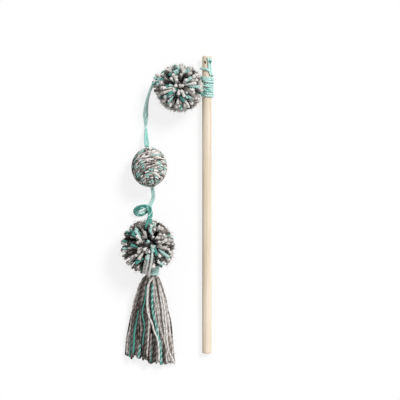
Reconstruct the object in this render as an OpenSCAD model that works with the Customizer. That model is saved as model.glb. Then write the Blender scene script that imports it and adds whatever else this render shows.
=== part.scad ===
// Cat teaser wand: a wooden stick with a string of pompoms, a wound ball and a tassel.
// It lies on its side on the floor: +Y runs from the grip to the tip, +Z points up.

/* [Stick] */
// Length of the wooden stick
stick_l = 300; // [240:1:400]
// Diameter of the wooden stick
stick_d = 9.5; // [8:0.1:11]
// Height of the eased edge at each end of the stick
stick_edge = 0.8; // [0.4:0.1:1.5]
// Distance from the middle of the toy to the axis of the stick
stick_x = 39.9; // [39:0.1:60]
// Distance from the middle of the toy to the tip of the stick
stick_tip_y = 155.6; // [150:0.1:180]
// Bore of the cross hole that the yarn is tied through
hole_d = 3; // [2.7:0.1:3.6]
// Distance from the tip to the cross hole
hole_from_tip = 6.7; // [5:0.1:9]
// Turn of the cross hole about the axis of the stick
hole_turn = 28; // [0:1:60]

/* [Yarn on the stick] */
// Diameter of the yarn that is wound on the stick
lash_d = 1.9; // [1.5:0.05:1.95]
// Step from one turn of the winding to the next
lash_pitch = 2.35; // [2.35:0.05:2.6]
// Number of turns of the winding
lash_turns = 8.6; // [4:0.1:9]
// Distance from the tip to the first turn of the winding
lash_from_tip = 20.3; // [19:0.1:30]
// Diameter of the knot at the tip
tip_knot_d = 2.8; // [2:0.1:3.4]

/* [Upper pompom] */
// Diameter of the upper pompom
upper_d = 48.4; // [40:0.1:52]
// Place of the upper pompom along the stick
upper_y = 122.4; // [118:0.1:126]

/* [Ball] */
// Width of the wound ball
ball_w = 36.2; // [32:0.1:40]
// Length of the wound ball along the axis of its winding
ball_l = 42.2; // [38:0.1:46]
// Diameter of the yarn that is wound on the ball
ball_yarn_d = 2.4; // [2:0.05:2.4]
// Number of turns on the ball
ball_turns = 17; // [12:1:17]
// Lean of the winding's axis from upright
ball_lean = 52; // [0:1:90]

/* [Lower pompom] */
// Diameter of the lower pompom
lower_d = 54; // [46:0.1:58]

/* [Tassel] */
// Width of the tassel where its strands end
tassel_w = 50; // [36:0.5:56]
// Thickness of the tassel where its strands end
tassel_t = 11; // [8:0.1:14]
// Diameter of the gathered neck of the tassel
neck_d = 9.2; // [7:0.1:9.6]
// Diameter of the yarn that is wound on the neck
neck_yarn_d = 2; // [1.5:0.05:2]
// Step from one turn on the neck to the next
neck_pitch = 2.5; // [2.5:0.05:3]
// Number of turns on the neck
neck_turns = 3.4; // [2:0.1:3.4]
// Length of the strands at the left side
tassel_left_l = 90.5; // [70:0.5:100]
// Length of the strands at the right side
tassel_right_l = 99.5; // [80:0.5:110]

/* [Cord] */
// Diameter of the doubled cord between the pieces
cord_d = 3.6; // [3:0.1:3.6]
// Diameter of a single yarn
yarn_d = 2.2; // [1.6:0.1:2.4]
// Diameter of the small knots that the cord is stopped with
stop_knot_d = 3.6; // [3:0.1:3.8]

/* [Hidden] */

// Clearance between a piece and its seat, and the overrun of every cut
gap = 0.3;
overrun = 1;
// Depth of the flat that soft pieces are pressed to where they stand
foot = 0.5;
// Facets of true round surfaces and of small plain ones, sides of a wound tube and of a cord
round_fn = 64;
knot_fn = 12;
plain_fn = 6;
wound_sides = 5;
cord_sides = 8;
// Rings in one loop of each winding
lash_rings = 10;
ball_rings = 10;

aqua = [0.55, 0.80, 0.76];
deep_aqua = [0.30, 0.60, 0.56];
grey = [0.46, 0.42, 0.40];
white = [0.90, 0.88, 0.85];
marl = [0.62, 0.70, 0.68];
pale_wood = [0.93, 0.85, 0.74];

// The stick lies on its winding and on the end of its grip, so it leans a little
lash_r = stick_d / 2 + gap + lash_d / 2;
lash_out_r = lash_r + lash_d / 2;
lash_l = lash_turns * lash_pitch;
lash_end = lash_from_tip + lash_l;
stick_lean = atan((lash_out_r - foot - stick_d / 2) / (stick_l - lash_end));
tip_z = lash_out_r - foot + lash_end * tan(stick_lean);
// Where round the stick the winding starts
lash_start_turn = 20;

// The upper pompom lies against the winding; its flight from the stick's axis is measured square to it
upper_r = upper_d / 2;
upper_z = upper_r - foot;
upper_seat = 1.1;
upper_rise = upper_z - (tip_z - (stick_tip_y - upper_y) * tan(stick_lean));
upper_x = stick_x - sqrt(pow(lash_out_r + upper_seat + upper_r, 2) - pow(upper_rise, 2));

// The ball, with the middle line of its yarn half a yarn under its outline
ball_at = [-17.8, 43.4];
ball_a = ball_l / 2;
ball_b = ball_w / 2;
ball_z = sqrt(pow(ball_a * cos(ball_lean), 2) + pow(ball_b * sin(ball_lean), 2)) - foot;
ball_core_cut = ball_yarn_d + ball_b * (1 - cos(180 / ball_rings)) + gap;

// The lower pompom: its strands leave a waist that lies off the middle, as it was tied
lower_r = lower_d / 2;
lower_at = [-19.5, -36.5];
lower_z = lower_r - foot;
waist_share = 0.3;
root_in_waist_share = 0.7;
strand_tip_share = 0.118;
strand_root_share = 0.026;
strands_per_pompom = 112;
// Half angles that the strands leave free for the cords of each pompom
hitch_way = 17;
upper_cord_way = 15;
lower_cord_way = 17;
neck_ways = [30, 28];
// Grey strands come up to the first share, white ones up to the second, aqua ones are the rest
pompom_tone_shares = [0.45, 0.8];
tassel_tone_shares = [0.55, 0.8];
upper_seed = 11;
lower_seed = 5;
tassel_seeds = [3, 8];

// Swing points of the string: the stop knots sit on them
upper_stop = [-12.5, 127.8, 20.5];
ball_stop = [-14.9, 23.5, 14.2];
lower_stop = [-15, -54.2, 18];
stop_r = stop_knot_d / 2;

// Routes of the cords, as points along their middle lines
hitch_route = [[33.5, 115.4, 9.5], [30.5, 116, 12], [27, 117, 15.4], [23, 118.6, 19], [20, 119.8, 21.2]];
upper_tie_route = [[19.5, 120, 21.6], [12.8, 122.4, 23.7], [6, 124, 23.6], [-1, 125.6, 22.8],
    [-7, 126.8, 21.8], [-10.4, 127.5, 21.1]];
middle_route = [[-13.8, 126.4, 19.4], [-16, 122.8, 16], [-18.4, 117, 11], [-20.2, 111, 6.6],
    [-21.4, 104, 3.4], [-21.9, 96, 2], [-21.8, 88, 2], [-21.5, 80, 4], [-21, 72, 8.8],
    [-20.6, 66.8, 12.8], [-20.4, 64, 14.8]];
ball_cord_route = [[-19.5, 56.6, 14.6], [-18.6, 50, 14.5], [-17, 38, 14.3], [-15.8, 30, 14.1]];
lower_route = [[-14.7, 21.4, 13.3], [-14.2, 18, 11], [-14, 15, 7.8], [-14.3, 12, 5.2],
    [-15.4, 9, 3.9], [-17, 7, 3.8], [-17.8, 5.9, 3.8], [-17.9, 5.2, 3.9]];
bow_route = [[-21.5, 3.9, 4.1], [-24.2, 5.7, 4.8], [-27, 5.2, 5.2], [-29.6, 3.4, 5.2],
    [-31.4, 0.7, 4.8], [-31.8, -2.2, 4], [-30.4, -4.7, 3], [-27.8, -5.5, 2.2],
    [-25.2, -4.5, 2], [-23.4, -2.4, 2], [-21.9, 0.4, 2.5]];
leg_left_route = [[-19.3, 1.2, 4], [-19.2, -3.6, 5.4], [-19.8, -7.2, 9.2], [-19.8, -11.4, 14.9]];
leg_right_route = [[-16.7, 1.2, 4], [-16, -3.6, 5.4], [-16.2, -7.2, 9.2], [-17.2, -11.4, 14.9]];
lower_tie_route = [[-18.5, -11.9, 15.3], [-17.8, -18, 20.6], [-17, -25, 24.4], [-16, -32, 26.2],
    [-15.4, -39, 25.2], [-15.1, -46, 21.8], [-15, -52.2, 18.8]];
lower_waist = [-16, -32, 26.2];
bow_knot_at = [-18, 3.1, 4];
bow_knot_r = 2;
bow_knot_l = 3;

// The tassel lies down from its neck to the floor
neck_drop = 11;
// The stop knot sits in the hollow between the folds of the head
head_from_stop = 0.8;
neck_l = neck_yarn_d + neck_turns * neck_pitch;
shoulder_at = 28;
shoulder_w_share = 0.58;
shoulder_t_share = 1.05;
root_w_share = 0.7;
root_t_share = 0.6;
end_t_share = 0.8;
// Strands leave the head just inside its end; the neck's slope eases out into the floor
root_at_share = 0.92;
root_at = root_at_share * neck_l;
ease = 2.2;
neck_start_turn = 60;

function unit(v) = v / norm(v);
function mix(a, b, t) = a + (b - a) * t;
function around(r, turn, z) = [r * cos(turn), r * sin(turn), z];

// Direction of a route at point i
function heading(route, i) =
    unit(route[min(i + 1, len(route) - 1)] - route[max(i - 1, 0)]);

// Ring of points round a route at point i; side is roughly where its first point lies
function ring(at, along, side, r, sides) =
    let (u = unit(side - (side * along) * along), v = cross(along, u))
    [for (k = [0 : sides - 1])
        at + r * (cos(360 * k / sides) * u + sin(360 * k / sides) * v)];

// Least distance from a tube of diameter d to itself, past the neighbours in its own loop
function self_gap(route, d, skip) =
    min([for (i = [0 : len(route) - 1]) for (j = [i + skip : 1 : len(route) - 1])
        norm(route[i] - route[j])]) - d;

// A closed tube along a route; sides_of gives the side that each ring starts from
module tube(route, sides_of, d, sides) {
    last = len(route) - 1;
    rings = [for (i = [0 : last])
        ring(route[i], heading(route, i), sides_of[i], d / 2, sides)];
    points = [for (r = rings) each r];
    skin = [for (i = [0 : last - 1]) for (k = [0 : sides - 1])
        let (a = i * sides + k, b = i * sides + (k + 1) % sides)
        each [[a, a + sides, b], [b, a + sides, b + sides]]];
    start = [for (k = [1 : sides - 2]) [0, k, k + 1]];
    end = [for (k = [1 : sides - 2]) [last * sides, last * sides + k + 1, last * sides + k]];
    polyhedron(points, concat(skin, start, end));
}

module cord(route, d) tube(route, [for (p = route) [0, 0, 1]], d, cord_sides);

// Many strands as one body of faces; each strand is a list of three-cornered rings
module strands(bundle) {
    rings = len(bundle[0]);
    points = [for (s = bundle) for (r = s) each r];
    faces = [for (n = [0 : len(bundle) - 1]) let (base = 3 * rings * n) each concat(
        [[base, base + 1, base + 2]],
        [for (i = [0 : rings - 2]) for (k = [0 : 2])
            let (a = base + 3 * i + k, b = base + 3 * i + (k + 1) % 3)
            each [[a, a + 3, b], [b, a + 3, b + 3]]],
        [[base + 3 * rings - 1, base + 3 * rings - 2, base + 3 * rings - 3]])];
    polyhedron(points, faces);
}

// Everything under the floor, to press a soft piece flat
module floor_cut() {
    reach = stick_l + stick_x;
    translate([-reach, -reach, -reach])
        cube([2 * reach, 2 * reach, reach]);
}

// Places a piece in the frame of the stick: z runs from the tip to the grip, y points up
module on_stick() {
    translate([stick_x, stick_tip_y, tip_z])
        rotate([90 + stick_lean, 0, 0])
            children();
}

// Points of a winding on a drum of radius r, with straight ends one yarn long
function drum_winding(r, z, pitch, turns, start_turn, d, rings) =
    let (n = round(turns * rings),
        loop = [for (i = [0 : n]) around(r, start_turn - 360 * turns * i / n, z + pitch * turns * i / n)])
    concat([loop[0] + d * unit(loop[0] - loop[1])], loop, [loop[n] + d * unit(loop[n] - loop[n - 1])]);

module stick() {
    color(pale_wood)
    on_stick()
    difference() {
        rotate_extrude($fn = round_fn)
            polygon([[0, 0], [stick_d / 2 - stick_edge, 0], [stick_d / 2, stick_edge],
                [stick_d / 2, stick_l - stick_edge], [stick_d / 2 - stick_edge, stick_l], [0, stick_l]]);
        translate([0, 0, hole_from_tip])
            rotate([-90, 0, hole_turn])
                cylinder(h = stick_d + 2 * overrun, d = hole_d, center = true, $fn = round_fn);
    }
}

module hole_yarn() {
    color(deep_aqua)
    on_stick()
    translate([0, 0, hole_from_tip])
        rotate([-90, 0, hole_turn])
            cylinder(h = stick_d, d = hole_d - 2 * gap, center = true, $fn = round_fn);
}

// The riser comes down from the tip knot and stops above the lashing that crosses the stick
knot_turn = 62;
riser_turn = 33;
riser_turn_share = 0.4;
riser_end = lash_from_tip - lash_pitch - lash_d - gap;

module tip_knot() {
    color(deep_aqua)
    on_stick()
    hull()
        for (z = [hole_from_tip - tip_knot_d / 2, hole_from_tip])
            translate(around(stick_d / 2 + gap + tip_knot_d / 2, knot_turn, z))
                sphere(d = tip_knot_d, $fn = knot_fn);
}

module tip_riser() {
    route = [around(lash_r, knot_turn, hole_from_tip + tip_knot_d),
        around(lash_r, mix(knot_turn, riser_turn, riser_turn_share), hole_from_tip + tip_knot_d + lash_d / 2),
        around(lash_r, riser_turn, riser_end - lash_d), around(lash_r, riser_turn, riser_end)];
    color(aqua)
    on_stick()
        tube(route, [for (p = route) [p.x, p.y, 0]], lash_d, wound_sides);
}

// One slow turn from the back mouth of the hole round to the top of the winding
back_mouth_turn = 255;
lashing_start_turn = hole_turn + back_mouth_turn;
lashing_end_turn = 42;

module tip_lashing() {
    n = lash_rings;
    route = [for (i = [0 : n])
        around(lash_r, mix(lashing_start_turn, lashing_end_turn, i / n),
            mix(hole_from_tip + lash_d, lash_from_tip - lash_pitch, i / n))];
    color(aqua)
    difference() {
        on_stick()
            tube(route, [for (p = route) [p.x, p.y, 0]], lash_d, wound_sides);
        floor_cut();
    }
}

module stick_winding() {
    route = drum_winding(lash_r, lash_from_tip, lash_pitch, lash_turns, lash_start_turn, lash_d, lash_rings);
    echo(stick_winding_gap = self_gap(route, lash_d, lash_rings / 2));
    color(aqua)
    difference() {
        on_stick()
            tube(route, [for (p = route) [p.x, p.y, 0]], lash_d, wound_sides);
        floor_cut();
    }
}

// Directions spread evenly over a sphere, turned by the golden angle from one to the next
golden_angle = 137.508;
function spread(i, n) =
    let (z = 1 - 2 * (i + 0.5) / n, r = sqrt(1 - z * z))
    [r * cos(golden_angle * i), r * sin(golden_angle * i), z];

// The colour of a strand, 0, 1 or 2, as its tone lies below, between or above two shares
function shade(tone, shares) = tone < shares[0] ? 0 : tone < shares[1] ? 1 : 2;

// How far a ray from the waist runs before it meets the trimmed outline of radius r
function trimmed(ray, off, r) = -(ray * off) + sqrt(r * r - off * off + pow(ray * off, 2));

// A strand of a pompom, narrow at the waist and bloomed at its cut tip
function tuft(ray, off, r) =
    let (reach = trimmed(ray, off, r), side = abs(ray.z) < abs(ray.x) ? [0, 0, 1] : [1, 0, 0])
    [ring(off + root_in_waist_share * waist_share * r * ray, ray, side, strand_root_share * r, 3),
        ring(off + reach * ray, ray, side, strand_tip_share * reach, 3)];

// A trimmed pompom of radius r about the origin. Strands leave room for the cords that run along ways
module pompom(r, off, ways, seed) {
    tone = rands(0, 1, strands_per_pompom, seed);
    rays = [for (i = [0 : strands_per_pompom - 1]) spread(i, strands_per_pompom)];
    free = [for (i = [0 : strands_per_pompom - 1])
        if (min([for (w = ways) acos(unit(w) * rays[i]) - norm(w)]) > 0) i];
    resize([2 * r, 2 * r, 2 * r]) union() {
        color(grey) {
            translate(off)
                sphere(r = waist_share * r, $fn = plain_fn);
            strands([for (i = free) if (shade(tone[i], pompom_tone_shares) == 0) tuft(rays[i], off, r)]);
        }
        color(white)
            strands([for (i = free) if (shade(tone[i], pompom_tone_shares) == 1) tuft(rays[i], off, r)]);
        color(aqua)
            strands([for (i = free) if (shade(tone[i], pompom_tone_shares) == 2) tuft(rays[i], off, r)]);
    }
}

// The way of a cord out of a pompom, as long as the half angle that it keeps free
function way(from, to, free_angle) = free_angle * unit(to - from);

// A route made longer at both ends, so that a bore for it is longer than its cord
function longer(route, by) = let (last = len(route) - 1)
    concat([route[0] + by * unit(route[0] - route[1])], route,
        [route[last] + by * unit(route[last] - route[last - 1])]);

module pompom_with_ways(r, at, off, ways, bores, seed) {
    difference() {
        translate(at)
            pompom(r, off, ways, seed);
        for (route = bores)
            cord(longer(route, gap), yarn_d + 2 * gap);
        floor_cut();
    }
}

upper_at = [upper_x, upper_y, upper_z];

module upper_pompom() {
    off = upper_tie_route[1] - upper_at;
    pompom_with_ways(upper_r, upper_at, off,
        [way(upper_at, hitch_route[0], hitch_way), way(upper_at, upper_stop, upper_cord_way)],
        [upper_tie_route, hitch_route], upper_seed);
}

module upper_pompom_tie() {
    color(aqua)
        cord(upper_tie_route, yarn_d);
}

module hitch_yarn() {
    color(deep_aqua)
    difference() {
        cord(hitch_route, yarn_d);
        on_stick()
            cylinder(h = 2 * lash_end, r = lash_out_r + 3 * gap, $fn = round_fn);
    }
}

module upper_stop_knot() {
    color(deep_aqua)
        translate(upper_stop)
            sphere(d = stop_knot_d, $fn = round_fn);
}

module middle_cord() {
    color(aqua)
        cord(middle_route, cord_d);
}

// Places a piece in the frame of the ball: z runs along the axis of its winding
module on_ball() {
    translate([ball_at.x, ball_at.y, ball_z])
        rotate([ball_lean, 0, 0])
            children();
}

module ball_core() {
    steps = round_fn / 2;
    a = ball_a - ball_core_cut;
    b = ball_b - ball_core_cut;
    color(grey)
    difference() {
        on_ball()
            rotate_extrude($fn = round_fn)
                polygon([for (i = [0 : steps]) [b * sin(180 * i / steps), a * cos(180 * i / steps)]]);
        cord(longer(ball_cord_route, gap), cord_d);
    }
}

module ball_cord() {
    color(aqua)
        cord(ball_cord_route, cord_d - 2 * gap);
}

// The yarn runs from pole to pole in even steps; its ends are tucked in towards the axis
ball_pole = 13;
ball_tuck = 35;
ball_even = 2.3;
function ball_loop(i, n) =
    let (even = mix(ball_pole, 180 - ball_pole, i / n),
        t = even + ball_even * sin(2 * even),
        turn = 360 * ball_turns * i / n,
        a = ball_a - ball_yarn_d / 2,
        b = ball_b - ball_yarn_d / 2)
    around(b * sin(t), turn, a * cos(t));
function tucked(at, next) =
    let (back = unit(at - next), turn = ball_tuck * sign(cross([at.x, at.y, 0], back).z * at.z) * sign(at.z))
    at + ball_yarn_d * [back.x * cos(turn) - back.y * sin(turn), back.x * sin(turn) + back.y * cos(turn), 0];

module ball_winding() {
    n = ball_turns * ball_rings;
    loop = [for (i = [0 : n]) ball_loop(i, n)];
    route = concat([tucked(loop[0], loop[1])], loop, [tucked(loop[n], loop[n - 1])]);
    echo(ball_winding_gap = self_gap(route, ball_yarn_d, ball_rings / 2));
    color(marl)
    difference() {
        on_ball()
            tube(route, route, ball_yarn_d, wound_sides);
        floor_cut();
    }
}

module ball_stop_knot() {
    color(deep_aqua)
        translate(ball_stop)
            sphere(d = stop_knot_d, $fn = round_fn);
}

module lower_cord() {
    color(aqua)
        cord(lower_route, cord_d);
}

// Two wraps of yarn pulled tight round the crossing of the bow
module bow_knot() {
    color(aqua)
    translate(bow_knot_at)
        rotate([-90, 0, 0])
            rotate_extrude($fn = round_fn)
                union() {
                    translate([0, -bow_knot_l / 2])
                        square([bow_knot_r, bow_knot_l]);
                    for (y = [-1, 1])
                        translate([bow_knot_r, y * (bow_knot_l - yarn_d) / 2])
                            intersection() {
                                circle(d = yarn_d, $fn = round_fn);
                                translate([-bow_knot_r, -yarn_d])
                                    square([2 * bow_knot_r, 2 * yarn_d]);
                            }
                }
}

module bow_loop() {
    color(deep_aqua)
        cord(bow_route, cord_d - 2 * gap);
}

module bow_leg_left() {
    color(deep_aqua)
        cord(leg_left_route, yarn_d);
}

module bow_leg_right() {
    color(deep_aqua)
        cord(leg_right_route, yarn_d);
}

lower_centre = [lower_at.x, lower_at.y, lower_z];

module lower_pompom() {
    pompom_with_ways(lower_r, lower_centre, lower_waist - lower_centre,
        [way(lower_waist, lower_tie_route[0], lower_cord_way),
            way(lower_waist, lower_stop + [0, 0, neck_d], neck_ways[0]),
            way(lower_waist, lower_stop - [0, 0, neck_d / 2], neck_ways[1])],
        [lower_tie_route], lower_seed);
}

module lower_pompom_tie() {
    color(aqua)
        cord(lower_tie_route, yarn_d);
}

module lower_stop_knot() {
    color(deep_aqua)
        translate(lower_stop)
            sphere(d = stop_knot_d, $fn = round_fn);
}

// Places a piece in the frame of the tassel's neck: z runs down the neck, y points up
module on_neck() {
    translate(lower_stop)
        rotate([90 + neck_drop, 0, 0])
            translate([0, 0, head_from_stop])
                children();
}

// Middle line of the tassel, a distance l below the head, and its half width and half thickness there
tassel_shift = -2.6;
function tassel_mid(l) =
    let (s = (l - root_at) / (tassel_right_l - root_at),
        root_z = lower_stop.z - (head_from_stop + root_at) * sin(neck_drop))
    [lower_stop.x + tassel_shift * s, lower_stop.y - head_from_stop - l,
        mix(tassel_t / 2 - foot, root_z, pow(max(0, 1 - s), ease))];

function cell(mid, half_w, half_t, u, v, w, up) =
    let (bulge = sqrt(1 - u * u),
        at = mid + [u * half_w, 0, v * bulge * half_t],
        dx = w * half_w,
        dz = up * w * half_w)
    up > 0
        ? [at + [dx, 0, -dz], at + [0, 0, dz], at + [-dx, 0, -dz]]
        : [at + [dx, 0, -dz], at + [-dx, 0, -dz], at + [0, 0, dz]];

// A strand of the tassel at the share u of its width and v of its thickness, both from -1 to 1
function tassel_strand(u, v, w, up, extra) =
    let (l = mix(tassel_left_l, tassel_right_l, min(1, (u + 1) * slant)) + extra)
    [cell(tassel_mid(root_at), neck_d * root_w_share / 2, neck_d * root_t_share / 2, u, v, w, up),
        cell(tassel_mid(shoulder_at), tassel_w * shoulder_w_share / 2, tassel_t * shoulder_t_share / 2,
            u, v, w, up),
        cell(tassel_mid(l), tassel_w * (1 - w) / 2, tassel_t * end_t_share / 2, u, v, w, up)];

tassel_columns = 24;
tassel_layers = 5;
slant = 0.75;
ragged = 1.4;
strand_w_share = 0.86;

module tassel_strands() {
    w = strand_w_share / tassel_columns;
    spots = [for (c = [0 : tassel_columns - 1])
        let (u = (2 * c + 1) / tassel_columns - 1, layers = max(2, round(tassel_layers * sqrt(1 - u * u))))
        for (k = [0 : layers - 1]) [u, layers > 1 ? 2 * k / (layers - 1) - 1 : 0, (c + k) % 2 > 0 ? 1 : -1]];
    tone = rands(0, 1, len(spots), tassel_seeds[0]);
    length = rands(-ragged, ragged, len(spots), tassel_seeds[1]);
    all = [for (i = [0 : len(spots) - 1])
        tassel_strand(spots[i][0], spots[i][1], w, spots[i][2], length[i])];
    difference() {
        union() {
            color(grey) {
                on_neck()
                    tassel_head();
                strands([for (i = [0 : len(all) - 1]) if (shade(tone[i], tassel_tone_shares) == 0) all[i]]);
            }
            color(white)
                strands([for (i = [0 : len(all) - 1]) if (shade(tone[i], tassel_tone_shares) == 1) all[i]]);
            color(aqua)
                strands([for (i = [0 : len(all) - 1]) if (shade(tone[i], tassel_tone_shares) == 2) all[i]]);
        }
        floor_cut();
    }
}

// The strands are folded over the hanger in round folds and gathered into the neck
tassel_folds = 6;
fold_r_share = 0.2;

module tassel_head() {
    fold_r = fold_r_share * neck_d;
    for (k = [0 : tassel_folds - 1])
        hull() {
            translate(around(neck_d / 2 - fold_r, 360 * k / tassel_folds, fold_r))
                sphere(r = fold_r, $fn = plain_fn);
            translate([0, 0, neck_l])
                cylinder(h = gap, r = neck_d / 2, $fn = plain_fn);
        }
}

module tassel_neck_wrap() {
    route = drum_winding(neck_d / 2 + gap + neck_yarn_d / 2, neck_yarn_d / 2, neck_pitch, neck_turns,
        neck_start_turn, neck_yarn_d, lash_rings);
    echo(tassel_neck_wrap_gap = self_gap(route, neck_yarn_d, lash_rings / 2));
    color(aqua)
    on_neck()
        tube(route, [for (p = route) [p.x, p.y, 0]], neck_yarn_d, wound_sides);
}

stick();
hole_yarn();
tip_knot();
tip_riser();
tip_lashing();
stick_winding();
upper_pompom();
upper_pompom_tie();
hitch_yarn();
upper_stop_knot();
middle_cord();
ball_core();
ball_cord();
ball_winding();
ball_stop_knot();
lower_cord();
bow_knot();
bow_loop();
bow_leg_left();
bow_leg_right();
lower_pompom();
lower_pompom_tie();
lower_stop_knot();
tassel_strands();
tassel_neck_wrap();
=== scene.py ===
# Cat teaser wand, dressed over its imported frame. It lies on a pale floor and is seen from above.
import math

import bpy
import numpy as np
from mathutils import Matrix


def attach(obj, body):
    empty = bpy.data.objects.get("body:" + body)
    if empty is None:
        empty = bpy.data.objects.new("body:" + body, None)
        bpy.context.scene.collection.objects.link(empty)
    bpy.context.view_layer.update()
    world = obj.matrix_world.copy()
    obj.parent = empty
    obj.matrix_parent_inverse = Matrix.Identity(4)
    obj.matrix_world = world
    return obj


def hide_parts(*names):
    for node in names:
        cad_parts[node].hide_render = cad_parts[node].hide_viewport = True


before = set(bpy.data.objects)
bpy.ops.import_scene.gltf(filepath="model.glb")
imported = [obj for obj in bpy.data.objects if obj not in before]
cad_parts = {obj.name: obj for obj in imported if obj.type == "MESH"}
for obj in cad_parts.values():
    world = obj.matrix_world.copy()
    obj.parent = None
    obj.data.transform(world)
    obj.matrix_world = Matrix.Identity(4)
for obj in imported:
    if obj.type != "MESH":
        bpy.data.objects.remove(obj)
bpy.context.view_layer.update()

# ---------------------------------------- camera
# A long lens looks straight down, as a product is photographed on a white table.
# Its axis meets the table a little beside the stick, at the middle of the picture.
picture_centre = (0.0330, 0.0104)
picture_width = 0.4036
stick_height = 0.0065
lens, sensor = 200.0, 36.0
camera_data = bpy.data.cameras.new("camera")
camera_data.lens = lens
camera_data.sensor_width = sensor
camera_data.clip_end = 20


def placed(name, data):
    """A new object of the scene that carries the data."""
    thing = bpy.data.objects.new(name, data)
    bpy.context.scene.collection.objects.link(thing)
    return thing


camera = placed("camera", camera_data)
camera.location = (*picture_centre, stick_height + picture_width * lens / sensor)
bpy.context.scene.camera = camera


# ---------------------------------------- middle cord
# Two soft aqua yarns, loosely twisted, hang from the knot at the upper pompom.
# They droop to the table and climb again into the top of the wound ball.
def mm(values):
    """Values written in millimetres, as an array in metres."""
    return np.array(values) / 1000


def smooth_path(knots, count):
    """Curve through the knots in which each stretch is a cubic with the slope of its neighbours,
    cut into `count` points that lie an equal length apart."""
    knots = np.asarray(knots, float)
    ends = np.vstack([2 * knots[0] - knots[1], knots, 2 * knots[-1] - knots[-2]])
    a, b, c, d = ends[:-3, None], ends[1:-2, None], ends[2:-1, None], ends[3:, None]
    t = np.linspace(0, 1, 40, endpoint=False)[None, :, None]
    fine = 0.5 * (2 * b + (c - a) * t + (2 * a - 5 * b + 4 * c - d) * t ** 2
                  + (3 * b - a - 3 * c + d) * t ** 3)
    fine = np.vstack([fine.reshape(-1, 3), knots[-1:]])
    run = np.concatenate([[0], np.cumsum(np.linalg.norm(np.diff(fine, axis=0), axis=1))])
    even = np.linspace(0, run[-1], count)
    return np.stack([np.interp(even, run, fine[:, i]) for i in range(3)], axis=1)


def run_of(paths):
    """Length from the first point to each point, for an array of paths (path, point, xyz)."""
    steps = np.linalg.norm(np.diff(paths, axis=1), axis=2)
    return np.concatenate([np.zeros((len(paths), 1)), np.cumsum(steps, axis=1)], axis=1)


def across(paths):
    """Two unit vectors square to each path at each point. The first is square to the direction
    that the path as a whole runs along least, so neither flips on the way."""
    along = np.gradient(paths, axis=1)
    along /= np.linalg.norm(along, axis=2, keepdims=True)
    spread = np.einsum("npi,npj->nij", along, along)
    least = np.linalg.eigh(spread)[1][:, :, 0]
    side = np.cross(along, least[:, None])
    side /= np.linalg.norm(side, axis=2, keepdims=True)
    return side, np.cross(along, side)


def tubes(paths, radius, sides, lobe_depth=0.0, turns=0.0):
    """Rings round each point of each path: radius * (1 + depth * cos(3 * angle)), the angle turned
    on along the path by `turns`, so that the three lobes wind round the tube as plies do."""
    side, up = across(paths)
    angle = np.linspace(0, 2 * math.pi, sides, endpoint=False)
    lobed = 1 + lobe_depth * np.cos(3 * angle)
    reach = np.broadcast_to(radius, paths.shape[:2])[..., None] * lobed
    turned = angle + 2 * math.pi * np.broadcast_to(turns, paths.shape[:2])[..., None]
    return (paths[:, :, None] + (reach * np.cos(turned))[..., None] * side[:, :, None]
            + (reach * np.sin(turned))[..., None] * up[:, :, None])


def yarn_piece(name, rings, dye, lay):
    """Mesh of many tubes at once from rings (tube, ring, side, xyz). A face joins each point to
    the next round and along, and one face closes each end. The UV map runs once round a tube
    and once per lay along it. The dye of each tube, or of each ring, is kept on its points."""
    n, m, k, _ = rings.shape
    ids = np.arange(n * m * k).reshape(n, m, k)
    on = np.roll(ids, -1, axis=2)
    walls = np.stack([ids[:, :-1], on[:, :-1], on[:, 1:], ids[:, 1:]], axis=-1).reshape(-1, 4)
    ends = np.concatenate([ids[:, 0, ::-1], ids[:, -1]])
    corners = np.concatenate([walls.ravel(), ends.ravel()])
    starts = np.concatenate([4 * np.arange(len(walls)), walls.size + k * np.arange(len(ends))])
    mesh = bpy.data.meshes.new(name)
    mesh.vertices.add(n * m * k)
    mesh.vertices.foreach_set("co", rings.reshape(-1))
    mesh.loops.add(len(corners))
    mesh.loops.foreach_set("vertex_index", corners.astype(np.int32))
    mesh.polygons.add(len(starts))
    mesh.polygons.foreach_set("loop_start", starts.astype(np.int32))
    mesh.polygons.foreach_set("use_smooth", np.ones(len(starts), bool))
    wall = (n, m - 1, k)
    u = np.arange(k) / k
    v = run_of(rings.mean(axis=2)) / lay
    u0, u1 = np.broadcast_to(u, wall), np.broadcast_to(u + 1 / k, wall)
    v0, v1 = np.broadcast_to(v[:, :-1, None], wall), np.broadcast_to(v[:, 1:, None], wall)
    wall_uv = np.stack([u0, v0, u1, v0, u1, v1, u0, v1], axis=-1).ravel()
    end_v = np.concatenate([v[:, 0], v[:, -1]])[:, None]
    end_uv = np.stack([np.tile(u, (2 * n, 1)), np.tile(end_v, (1, k))], axis=-1).ravel()
    uv_map = mesh.uv_layers.new(name="round_and_along")
    uv_map.data.foreach_set("uv", np.concatenate([wall_uv, end_uv]))
    dyes = np.broadcast_to(np.asarray(dye, float).reshape(n, -1, 1), (n, m, k)).ravel()
    dye_kept = mesh.attributes.new("dye", "FLOAT", "POINT")
    dye_kept.data.foreach_set("value", dyes.astype(np.float32))
    mesh.update(calc_edges=True)
    mesh.validate()
    return placed(name, mesh)


def plied(paths, width, lay, sides=7):
    """Three plies twisted round each path. Ply k follows the path at the radius width * 0.24, at
    the angle 2 pi * (run / lay + k / 3), and is a round tube of radius width * 0.27."""
    side, up = across(paths)
    angle = 2 * math.pi * (run_of(paths)[:, None] / lay + (np.arange(3) / 3)[None, :, None])
    width = np.broadcast_to(width, paths.shape[:2])[:, None, :, None]
    middles = paths[:, None] + 0.24 * width * (np.cos(angle)[..., None] * side[:, None]
                                               + np.sin(angle)[..., None] * up[:, None])
    radii = np.repeat(0.27 * width[:, 0, :, 0], 3, axis=0)
    return tubes(middles.reshape(-1, paths.shape[1], 3), radii, sides)


def above_floor(rings):
    """Presses whatever would go through the table flat on it: no point is under 0.3 mm."""
    rings[..., 2] = np.maximum(rings[..., 2], 0.0003)
    return rings


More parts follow.
